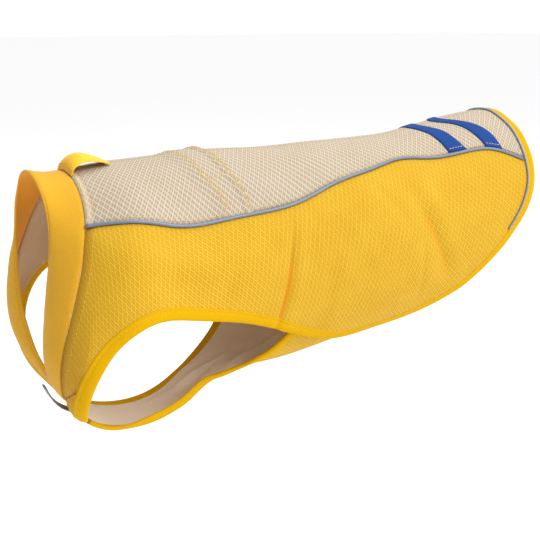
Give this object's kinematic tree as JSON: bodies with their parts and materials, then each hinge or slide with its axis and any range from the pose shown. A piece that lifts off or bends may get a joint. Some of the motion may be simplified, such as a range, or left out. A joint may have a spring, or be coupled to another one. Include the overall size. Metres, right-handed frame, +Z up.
{
  "type": "dog cooling vest",
  "caption": "Pull-on cooling vest for a dog, filled out and hollow: yellow and cream air mesh with bound leg holes, collar, piping, leash portal, rump tapes, neck loop and chest tab.",
  "frame": {"origin": "On the inner face of the back, on the spine over the withers, where the wearer's back holds the vest up", "axes": "+X to the tail along the back, +Y to the dog's right, +Z up"},
  "size_m": [0.5194, 0.2054, 0.2521],
  "materials": {
    "yellow_knit": "smooth felt-like knit",
    "yellow_mesh_left": "diamond air mesh",
    "yellow_mesh_right": "diamond air mesh",
    "cream_mesh_front": "coarse diamond air mesh",
    "cream_mesh_rear": "coarse diamond air mesh",
    "body_lining_knit": "light knit",
    "hem_tape": "folded woven tape",
    "yellow_mesh_belly": "diamond air mesh",
    "belly_lining_knit": "light knit",
    "belly_tape_left": "folded woven tape",
    "belly_tape_right": "folded woven tape",
    "belly_tape_rear": "folded woven tape",
    "piping_left": "reflective fabric cord",
    "piping_right": "reflective fabric cord",
    "piping_rear": "reflective fabric cord",
    "blue_tape_front": "plain woven tape",
    "blue_tape_rear": "plain woven tape",
    "loop_knit": "ribbed strap",
    "tab_tape": "reflective fabric tape"
  },
  "bodies": {
    "root": {"neck_band": "yellow_knit", "side_panel_left": "yellow_mesh_left", "side_panel_right": "yellow_mesh_right", "back_panel_front": "cream_mesh_front", "back_panel_rear": "cream_mesh_rear", "body_lining": "body_lining_knit", "hem_binding": "hem_tape", "belly_panel": "yellow_mesh_belly", "belly_lining": "belly_lining_knit", "belly_binding_left": "belly_tape_left", "belly_binding_right": "belly_tape_right", "belly_binding_rear": "belly_tape_rear", "piping_left": "piping_left", "piping_right": "piping_right", "piping_rear": "piping_rear", "blue_tape_front": "blue_tape_front", "blue_tape_rear": "blue_tape_rear", "neck_loop": "loop_knit", "chest_tab": "tab_tape"}
  },
  "joints": []
}
